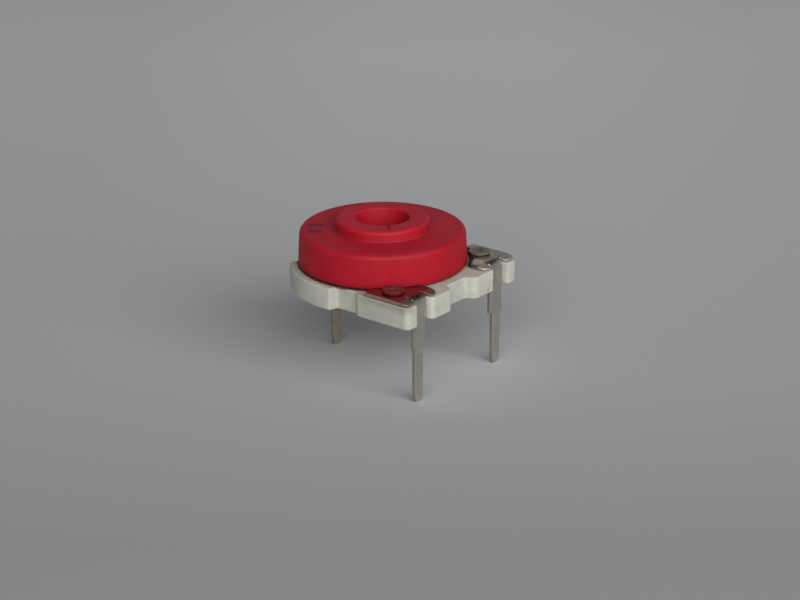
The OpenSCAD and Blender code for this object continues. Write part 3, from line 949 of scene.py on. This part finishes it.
def red_moulding():
    made, tree, shader, place = new_material("red_moulding")
    cloud = effect(tree, FINE_GRAIN, place, Size=1.9, Contrast=2.2)
    grain = effect(tree, FINE_GRAIN, place, Size=0.07, Contrast=2.0)
    marks = effect(tree, HANDLING_MARKS, place, Patch=2.8, Scratches=1.0)
    dust = effect(tree, SPECKS, place, Spacing=0.9, Radius=0.045, Share=0.22)
    edge = effect(tree, EDGE_WEAR, place, Width=0.12, Broken=0.6)
    deep_red, bright_red = (0.292, 0.0018, 0.0100, 1), (0.392, 0.0030, 0.0137, 1)
    colour = blend(tree, cloud["Tone"], deep_red, bright_red)
    colour = coats(
        tree, colour,
        (grain["Tone"], 0.12, (0.22, 0.003, 0.008, 1)),
        (edge["Mask"], 0.5, (0.265, 0.0018, 0.009, 1)),
        (marks["Scratch"], 0.25, (0.58, 0.09, 0.1, 1)),
        (dust["Mask"], 0.3, (0.5, 0.22, 0.22, 1)),
    )
    colour = blend(tree, ink_bars(tree, place), colour, (0.028, 0.009, 0.012, 1))
    # A pale coat on the faces that look up, partly dust and partly painted sheen, and the collar's
    # top a little lighter
    upright = parts(tree, place)["Z"]
    looks_up = spread(tree, facing(tree, "Z"), 0.6, 1)
    dust_and_sheen = spread(tree, marks["Smudge"], 0, 1, 0.011, 0.028)
    colour = coats(tree, colour, (looks_up, dust_and_sheen, (0.5, 0.34, 0.55, 1)))
    collar_top_lighter = spread(tree, upright, COLLAR_TOP - 0.25, COLLAR_TOP - 0.02, 0, 0.18)
    colour = blend(tree, collar_top_lighter, colour, (0.52, 0.025, 0.04, 1))
    # Painted shade above the gap to the base, and in the corner at the collar's foot
    low_painted_shade = spread(tree, upright, DISC_Z + 0.02, DISC_Z + 0.6, 0.5, 0)
    outside = minus(tree, off_axis(tree, place), COLLAR_R)
    above = minus(tree, upright, DISC_TOP)
    from_corner = length(tree, node(tree, "CombineXYZ", {0: outside, 1: above}).outputs[0])
    corner_painted_shade = spread(tree, from_corner, 0.1, 0.6, 0.22, 0)
    uneven = spread(tree, cloud["Tone"], 0, 1, 1, 0.7)
    painted_shade = times(tree, calc(tree, "MAXIMUM", low_painted_shade, corner_painted_shade), uneven)
    colour = blend(tree, painted_shade, colour, (0.075, 0.001, 0.003, 1))
    rough = spread(tree, plus(tree, marks["Smudge"], grain["Tone"]), 0.0, 2.0, 0.52, 0.68)
    height = minus(tree, grain["Height"], times(tree, marks["Scratch"], 0.5))
    height = plus(tree, height, times(tree, cloud["Height"], 2.0))
    surface(tree, shader, colour, rough, height, 0.006, specular=0.25)
    return made


# Marks round the disc are strongest at the first radius and gone at the second
# The gap and halo radii place painted shade on the ceramic
GAP_SHADE_R = (6.82, 6.96)
SHADE_HALO_R = (6.9, 7.6)
DARKER_BESIDE_R = (7.15, 7.45)
DARK_BAND_R = (7.12, 7.35)
SHADE_WAY = (-0.25, -0.97, 0)
BELOW_TERMINAL_Y = (-6.65, -6.35)


def disc_painted_shade(tree, place, upright, ragged):
    """Painted shade with a painted red reflection, in the gap under the disc's edge and round it, on
    one side.
    """
    radius = off_axis(tree, place)
    in_gap = times(
        tree, spread(tree, plus(tree, radius, ragged), *GAP_SHADE_R, 0.92, 0),
        spread(tree, upright, BASE_TOP - 0.17, BASE_TOP - 0.08),
    )
    near_disc = times(
        tree, spread(tree, radius, *SHADE_HALO_R, 0.14, 0),
        spread(tree, upright, BASE_TOP - 0.6, BASE_TOP),
    )
    one_side = spread(tree, vector(tree, "DOT_PRODUCT", place, SHADE_WAY, "Value"), 0, 4)
    return times(tree, calc(tree, "MAXIMUM", in_gap, near_disc), one_side)


def fired_ceramic():
    made, tree, shader, place = new_material("fired_ceramic")
    cloud = effect(tree, FINE_GRAIN, place, Size=2.2, Contrast=2.5)
    grain = effect(tree, FINE_GRAIN, place, Size=0.05, Contrast=2.2)
    pits = effect(tree, SPECKS, place, Spacing=0.35, Radius=0.035, Share=0.35)
    dark = effect(tree, SPECKS, place, Spacing=1.6, Radius=0.075, Share=0.26)
    marks = effect(tree, HANDLING_MARKS, place, Patch=3.0, Scratches=1.0)
    edge = effect(tree, EDGE_WEAR, place, Width=0.1, Broken=0.7)
    grey, ivory = (0.355, 0.352, 0.302, 1), (0.495, 0.496, 0.43, 1)
    colour = blend(tree, cloud["Tone"], grey, ivory)
    colour = coats(
        tree, colour,
        (grain["Tone"], 0.22, (0.32, 0.32, 0.275, 1)),
        (marks["Smudge"], 0.38, (0.31, 0.295, 0.245, 1)),
        (edge["Mask"], 0.1, (0.55, 0.55, 0.49, 1)),
        (pits["Mask"], 0.35, (0.22, 0.22, 0.19, 1)),
        (dark["Mask"], 0.75, (0.10, 0.095, 0.08, 1)),
    )
    axis = parts(tree, place)
    ragged = ragged_shift(tree, place, 2.2, 0.07)
    # Painted shade and painted red reflection on the ceramic under the disc's edge
    painted_shade = disc_painted_shade(tree, place, axis["Z"], ragged)
    colour = blend(tree, painted_shade, colour, (0.085, 0.005, 0.009, 1))
    # Darker brown below the left terminal's edge
    below = spread(tree, plus(tree, axis["Z"], ragged), BASE_TOP - 0.7, BASE_TOP - 0.15, 0, 0.62)
    below_terminal_darkening = times(
        tree, below, spread(tree, axis["Y"], *BELOW_TERMINAL_Y, 1, 0),
        spread(tree, axis["X"], PLATE_BACK_X - 0.9, PLATE_BACK_X + 0.2),
    )
    colour = blend(tree, below_terminal_darkening, colour, (0.21, 0.195, 0.15, 1))
    rough = spread(tree, grain["Tone"], 0, 1, 0.55, 0.78)
    height = minus(tree, grain["Height"], times(tree, pits["Mask"], 0.8))
    height = plus(tree, height, times(tree, cloud["Height"], 3.0))
    surface(tree, shader, colour, rough, height, 0.01, specular=0.35)
    return made


PALE_PLACE = (6.62, 3.72, PLATE_TOP)
PALE_R = (0.4, 0.72)
# How much rougher a drawn pin is than the plate
PIN_MATT = 0.28


def dark_band_and_pale_patch(tree, place, colour, rough, radius, ragged, plate, dulled):
    """A near-black band beside the disc and a pale patch on the plate's lobe. Both are dry, not
    metal.
    """
    dark_band = spread(tree, plus(tree, radius, times(tree, ragged, 0.5)), *DARK_BAND_R, 1, 0)
    dark_band = times(tree, dark_band, plate)
    colour = blend(tree, dark_band, colour, (0.03, 0.003, 0.005, 1))
    from_middle = vector(tree, "DISTANCE", place, PALE_PLACE, "Value")
    pale_patch = spread(tree, plus(tree, from_middle, ragged), *PALE_R, 0.8, 0)
    bare = minus(tree, dulled, times(tree, dark_band, dulled))
    broken = spread(tree, noise(tree, place, 3.2, 4, 0.65), 0.38, 0.58, 0.3, 1)
    pale_patch = times(tree, pale_patch, bare, broken)
    colour = blend(tree, pale_patch, colour, (0.42, 0.39, 0.36, 1))
    dry = calc(tree, "MAXIMUM", dark_band, pale_patch)
    return colour, plus(tree, rough, times(tree, dry, 0.45)), dry


def end_plate(tree, place, colour, rough, sheared, darkened, wing, cut_edge=None, with_patches=False):
    """Gives an end terminal a matt pin and its plate's marks. Also returns where it is dry."""
    axis = parts(tree, place)
    drawn = spread(tree, axis["Z"], PLATE_TOP - 0.9, PLATE_TOP - 0.4, PIN_MATT, 0)
    rough = plus(tree, rough, drawn)
    plate = spread(tree, axis["Z"], FILM_TOP - 0.06, FILM_TOP + 0.06)
    # When given, this lighter edge colour is a painted highlight along the plate's cut edge
    if cut_edge:
        colour = blend(tree, times(tree, plate, sheared), colour, cut_edge)
    dulled = times(tree, plate, minus(tree, 1.0, sheared))
    colour = coats(tree, colour, (dulled, darkened, (0.05, 0.035, 0.03, 1)))
    # The wings pressed by the bending tool are brown and rough
    aside = apart(tree, calc(tree, "ABSOLUTE", axis["Y"]), STRIP_Y)
    pressed = times(
        tree, plate, spread(tree, aside, STRIP_HALF, STRIP_HALF + 0.08),
        spread(tree, axis["X"], CREASE_X - 0.08, CREASE_X + 0.12),
    )
    patch = spread(tree, noise(tree, place, 2.4, 3, 0.6), 0.3, 0.7, 0.6, 1.0)
    colour = coats(tree, colour, (pressed, patch, wing))
    rough = plus(tree, rough, times(tree, pressed, 0.42))
    # Darker on the plate beside the disc
    radius = off_axis(tree, place)
    ragged = ragged_shift(tree, place, 1.8, 0.2)
    darker_beside_disc = times(tree, spread(tree, plus(tree, radius, ragged), *DARKER_BESIDE_R, 1, 0), plate)
    colour = coats(tree, colour, (darker_beside_disc, 0.95, (0.035, 0.009, 0.01, 1)))
    if with_patches:
        return dark_band_and_pale_patch(tree, place, colour, rough, radius, ragged, plate, dulled)
    return colour, rough, None


def metal_sheet(
    name, bright, tarnish, share, smooth, cut_edge, side="Y", rub=0.25, painted_reflection_coat=False, plate=None
):
    """Rolled and plated sheet, with duller sheared sides that face along Y, or off Z.

    A share of it is tarnished. Where asked, a dry matt coat in the colour of its cut edge covers it;
    on the left rivet that red-brown coat is a painted reflection of the red disc. For an end
    terminal, plate holds the values that end_plate takes besides.
    """
    made, tree, shader, place = new_material(name)
    rolled = node(tree, "Mapping", {"Vector": place, "Scale": (0.8, 16.0, 0.8)}).outputs[0]
    lines = noise(tree, rolled, 1.3, 4, 0.6)
    cloud = effect(tree, FINE_GRAIN, place, Size=1.1, Contrast=2.4)
    grain = effect(tree, FINE_GRAIN, place, Size=0.06, Contrast=2.0)
    marks = effect(tree, HANDLING_MARKS, place, Patch=1.6, Scratches=1.0)
    edge = effect(tree, EDGE_WEAR, place, Width=0.06, Broken=0.5)
    stain = spread(tree, cloud["Tone"], 1 - share, 1.15 - share / 2)
    colour = blend(tree, stain, bright, tarnish)
    colour = coats(tree, colour, (lines, 0.3, shade(bright, 0.6)))
    along = calc(tree, "ABSOLUTE", facing(tree, side))
    if side == "Y":
        sheared = spread(tree, along, 0.8, 0.95)
    else:
        sheared = spread(tree, along, 0.45, 0.8, 1, 0)
    dry = None
    if painted_reflection_coat:
        coat_mask = spread(tree, noise(tree, place, 3.0, 4, 0.6), 0.3, 0.65, 0.65, 1)
        sheared = dry = calc(tree, "MAXIMUM", sheared, coat_mask)
    colour = blend(tree, sheared, colour, cut_edge)
    colour = coats(tree, colour, (edge["Mask"], rub, (0.66, 0.60, 0.52, 1)))
    tone = plus(tree, lines, marks["Smudge"], sheared)
    rough = spread(tree, tone, 0, 2.5, smooth, smooth + 0.2)
    if side == "Z":
        rough = plus(tree, rough, times(tree, sheared, 0.35))
    if plate:
        colour, rough, dry = end_plate(tree, place, colour, rough, sheared, **plate)
    height = plus(tree, times(tree, lines, 0.5), times(tree, cloud["Height"], 7.0))
    height = plus(tree, height, times(tree, grain["Height"], 0.5))
    height = minus(tree, height, times(tree, marks["Scratch"], 0.4))
    surface(tree, shader, colour, rough, height, 0.004)
    shader.inputs["Metallic"].default_value = 1.0
    if dry:
        tree.links.new(minus(tree, 1.0, dry), shader.inputs["Metallic"])
        shader.inputs["Specular IOR Level"].default_value = 0.05 if painted_reflection_coat else 0.2
    return made


# The circle on which the contact button runs
SWEPT_R = 4.95


def printed_film(name, dark, light, grain_size, shine):
    """Printed track material: fine particles in a matt binder."""
    made, tree, shader, place = new_material(name)
    grain = effect(tree, FINE_GRAIN, place, Size=grain_size, Contrast=2.6)
    marks = effect(tree, HANDLING_MARKS, place, Patch=1.2, Scratches=1.0)
    swept = spread(tree, apart(tree, off_axis(tree, place), SWEPT_R), 0.3, 0.42, 1, 0)
    colour = blend(tree, grain["Tone"], dark, light)
    colour = coats(tree, colour, (swept, 0.4, shade(light, 1.6)))
    tone = minus(tree, grain["Tone"], times(tree, swept, 0.5))
    rough = spread(tree, tone, -0.5, 1, shine, shine + 0.35)
    height = minus(tree, grain["Height"], times(tree, marks["Scratch"], 0.5))
    surface(tree, shader, colour, rough, height, 0.004)
    return made


RED = red_moulding()
CERAMIC = fired_ceramic()
TIN = (0.57, 0.53, 0.475, 1)
TARNISHED_TIN = (0.41, 0.33, 0.26, 1)
TINNED = metal_sheet(
    "tinned_sheet", TIN, TARNISHED_TIN, share=0.5,
    smooth=0.13, cut_edge=(0.38, 0.34, 0.29, 1), rub=0.12,
    plate=dict(darkened=0.05, wing=(0.53, 0.46, 0.40, 1), with_patches=True),
)
# In its plate values, the lighter, warmer cut edge is a painted highlight
DARKENED = metal_sheet(
    "darkened_sheet", TIN, TARNISHED_TIN, share=0.5,
    smooth=0.13, cut_edge=(0.43, 0.37, 0.31, 1), rub=0.12,
    plate=dict(darkened=0.6, wing=(0.25, 0.18, 0.135, 1), cut_edge=(0.60, 0.42, 0.34, 1)),
)
# The back terminal is a ring and a drawn pin, with no plate
STAINED = metal_sheet(
    "stained_sheet", (0.59, 0.49, 0.375, 1), (0.42, 0.30, 0.20, 1), share=0.5,
    smooth=0.13 + PIN_MATT, cut_edge=(0.38, 0.32, 0.25, 1), rub=0.12,
)
RIVET = metal_sheet(
    "rivet_metal", (0.46, 0.415, 0.335, 1), (0.29, 0.235, 0.17, 1), share=0.55,
    smooth=0.36, cut_edge=(0.24, 0.21, 0.17, 1), side="Z", rub=0.08,
)
# The left rivet's red-brown matt coat is a painted reflection of the red disc
DARK_RIVET = metal_sheet(
    "darkened_rivet", (0.26, 0.225, 0.19, 1), (0.18, 0.13, 0.10, 1), share=0.5,
    smooth=0.13, cut_edge=(0.135, 0.007, 0.010, 1), side="Z", rub=0.03, painted_reflection_coat=True,
)
EYELET = metal_sheet(
    "plated_eyelet", (0.66, 0.65, 0.60, 1), (0.46, 0.42, 0.34, 1), share=0.35,
    smooth=0.24, cut_edge=(0.62, 0.61, 0.56, 1),
)
STEEL = metal_sheet(
    "spring_steel", (0.50, 0.50, 0.51, 1), (0.30, 0.26, 0.22, 1), share=0.3,
    smooth=0.28, cut_edge=(0.42, 0.42, 0.43, 1),
)
BRONZE = metal_sheet(
    "rolled_bronze", (0.62, 0.40, 0.18, 1), (0.36, 0.20, 0.09, 1), share=0.4,
    smooth=0.28, cut_edge=(0.48, 0.30, 0.14, 1),
)
TRACK = printed_film(
    "carbon_track", (0.012, 0.012, 0.013, 1), (0.035, 0.035, 0.038, 1), grain_size=0.05, shine=0.4
)
BUTTON = printed_film(
    "pressed_carbon", (0.02, 0.02, 0.022, 1), (0.05, 0.05, 0.055, 1), grain_size=0.07, shine=0.3
)
SILVER = printed_film(
    "silver_print", (0.34, 0.34, 0.32, 1), (0.5, 0.5, 0.47, 1), grain_size=0.06, shine=0.35
)


# ------------------------------------------------------------ the dressed object
finish_piece(moulded_rotor(), "rotor_disc", RED, "red_plastic", "rotor", "rotor")
finish_piece(ceramic_base(), "base_ceramic", CERAMIC, "ceramic", "base", "base_plate")
finish_piece(end_terminal(1), "terminal_right", TINNED, "tinned_brass", "base", "cw_terminal")
finish_piece(end_terminal(-1), "terminal_left", DARKENED, "tinned_brass", "base", "ccw_terminal")
finish_piece(wiper_terminal(), "terminal_back", STAINED, "tinned_brass", "base", "wiper_terminal")
finish_piece(end_rivet(1, RIGHT_FLARE), "rivet_right", RIVET, "tinned_brass", "base", "cw_rivet")
finish_piece(end_rivet(-1, LEFT_FLARE), "rivet_left", DARK_RIVET, "tinned_brass", "base", "ccw_rivet")
finish_piece(centre_eyelet(), "eyelet", EYELET, "plated_brass", "base", "centre_eyelet")
finish_piece(retaining_ring(), "split_ring", STEEL, "spring_steel", "rotor", "retaining_ring")

# The CAD nodes that keep their own shape
for name, finish in (
    ("resistive_track", TRACK),
    ("cw_pad", SILVER),
    ("ccw_pad", SILVER),
    ("wiper_spring", BRONZE),
    ("contact_button", BUTTON),
):
    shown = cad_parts[name]
    shown.data.materials.clear()
    shown.data.materials.append(finish)


# ---------------------------------------------------------- floor, light, camera
FLOOR_SIZE = 4.0
FADE_START = 170
FADE_END = 420
WALL_TOP = math.radians(21)
CEILING_EDGE = math.radians(37)
LAMP_AIM = Vector((0, 0, 8)) * MM
CAMERA_PLACE = Vector((106.762, -130.479, 71.064)) * MM
CAMERA_TURN = [math.radians(turn) for turn in (69.4907, 0.3003, 39.1786)]


def floor_colour_and_painted_light(tree, place, grain):
    """Painted light on the floor: lighter towards the back and in a pool close to the object, darker
    to the sides.
    """
    back = vector(tree, "DOT_PRODUCT", place, (-0.62, 0.78, 0), "Value")
    across = vector(tree, "DOT_PRODUCT", place, (0.78, 0.62, 0), "Value")
    aside = apart(tree, across, 7.0)
    close = vector(tree, "DISTANCE", place, (3.0, 2.2, 0), "Value")
    front, middle = (0.315, 0.32, 0.327, 1), (0.398, 0.403, 0.411, 1)
    colour = blend(tree, spread(tree, back, -32, -4), front, middle)
    colour = blend(tree, spread(tree, back, -4, 95), colour, (0.52, 0.525, 0.535, 1))
    colour = blend(tree, spread(tree, aside, 10, 38, 0, 0.2), colour, (0.28, 0.285, 0.292, 1))
    # A painted pool of light close to the object
    colour = blend(tree, spread(tree, close, 4, 13, 0.5, 0), colour, (0.52, 0.522, 0.528, 1))
    return coats(tree, colour, (grain["Tone"], 0.1, (0.24, 0.245, 0.25, 1)))


def pale_floor():
    deselect()
    bpy.ops.mesh.primitive_plane_add(size=FLOOR_SIZE, location=(0, 0, 0))
    floor = bpy.context.object
    floor.name = "floor"
    made, tree, shader, place = new_material("pale_floor")
    grain = effect(tree, FINE_GRAIN, place, Size=0.6, Contrast=1.6)
    tree.links.new(floor_colour_and_painted_light(tree, place, grain), shader.inputs["Base Color"])
    shader.inputs["Roughness"].default_value = 0.85
    shader.inputs["Specular IOR Level"].default_value = 0.2
    relief = node(tree, "Bump", {"Height": grain["Height"], "Strength": 0.3, "Distance": 0.02 * MM})
    tree.links.new(relief.outputs[0], shader.inputs["Normal"])
    # Far from the object the floor goes over into the plain background, and it can
    # be looked through from below
    far = spread(tree, off_axis(tree, place), FADE_START, FADE_END)
    away = calc(tree, "MAXIMUM", far, node(tree, "NewGeometry").outputs["Backfacing"])
    clear = node(tree, "BsdfTransparent")
    mixed = node(tree, "MixShader", {0: away, 1: shader.outputs[0], 2: clear.outputs[0]})
    tree.links.new(mixed.outputs[0], tree.nodes["Material Output"].inputs["Surface"])
    floor.data.materials.append(made)


def studio_walls():
    """Pale walls up to eye level, and a darker ceiling."""
    world = bpy.data.worlds.new("studio")
    bpy.context.scene.world = world
    world.use_nodes = True
    sky = world.node_tree
    background = sky.nodes["Background"]
    level = parts(sky, node(sky, "TexCoord").outputs["Generated"])["Z"]
    ceiling = spread(sky, level, math.sin(WALL_TOP), math.sin(CEILING_EDGE))
    colour = blend(sky, ceiling, (0.29, 0.293, 0.302, 1), (0.065, 0.065, 0.068, 1))
    sky.links.new(colour, background.inputs["Color"])
    background.inputs["Strength"].default_value = 1.0


def softbox(name, azimuth, elevation, distance, width, height, power):
    """A wide lamp that points at the object, from a direction seen from above."""
    a, e = math.radians(azimuth), math.radians(elevation)
    towards = Vector((math.cos(e) * math.cos(a), math.cos(e) * math.sin(a), math.sin(e)))
    lamp = bpy.data.lights.new(name, "AREA")
    lamp.shape = "RECTANGLE"
    lamp.size = width
    lamp.size_y = height
    lamp.energy = power
    made = bpy.data.objects.new(name, lamp)
    made.location = LAMP_AIM + towards * distance
    made.rotation_mode = "QUATERNION"
    made.rotation_quaternion = towards.to_track_quat("Z", "Y")
    bpy.context.scene.collection.objects.link(made)


def still_camera():
    camera = bpy.data.objects.new("camera", bpy.data.cameras.new("camera"))
    bpy.context.scene.collection.objects.link(camera)
    camera.matrix_world = Matrix.LocRotScale(CAMERA_PLACE, Euler(CAMERA_TURN), None)
    camera.data.sensor_width = 36
    camera.data.lens = 101.056
    camera.data.shift_x = 0.0214
    camera.data.shift_y = -0.0426
    camera.data.clip_start = 0.01
    camera.data.clip_end = 20
    bpy.context.scene.camera = camera


pale_floor()
studio_walls()
softbox("window", azimuth=-34, elevation=31, distance=1.0, width=1.75, height=0.8, power=17.8)
still_camera()
bpy.context.scene.view_settings.view_transform = "Standard"
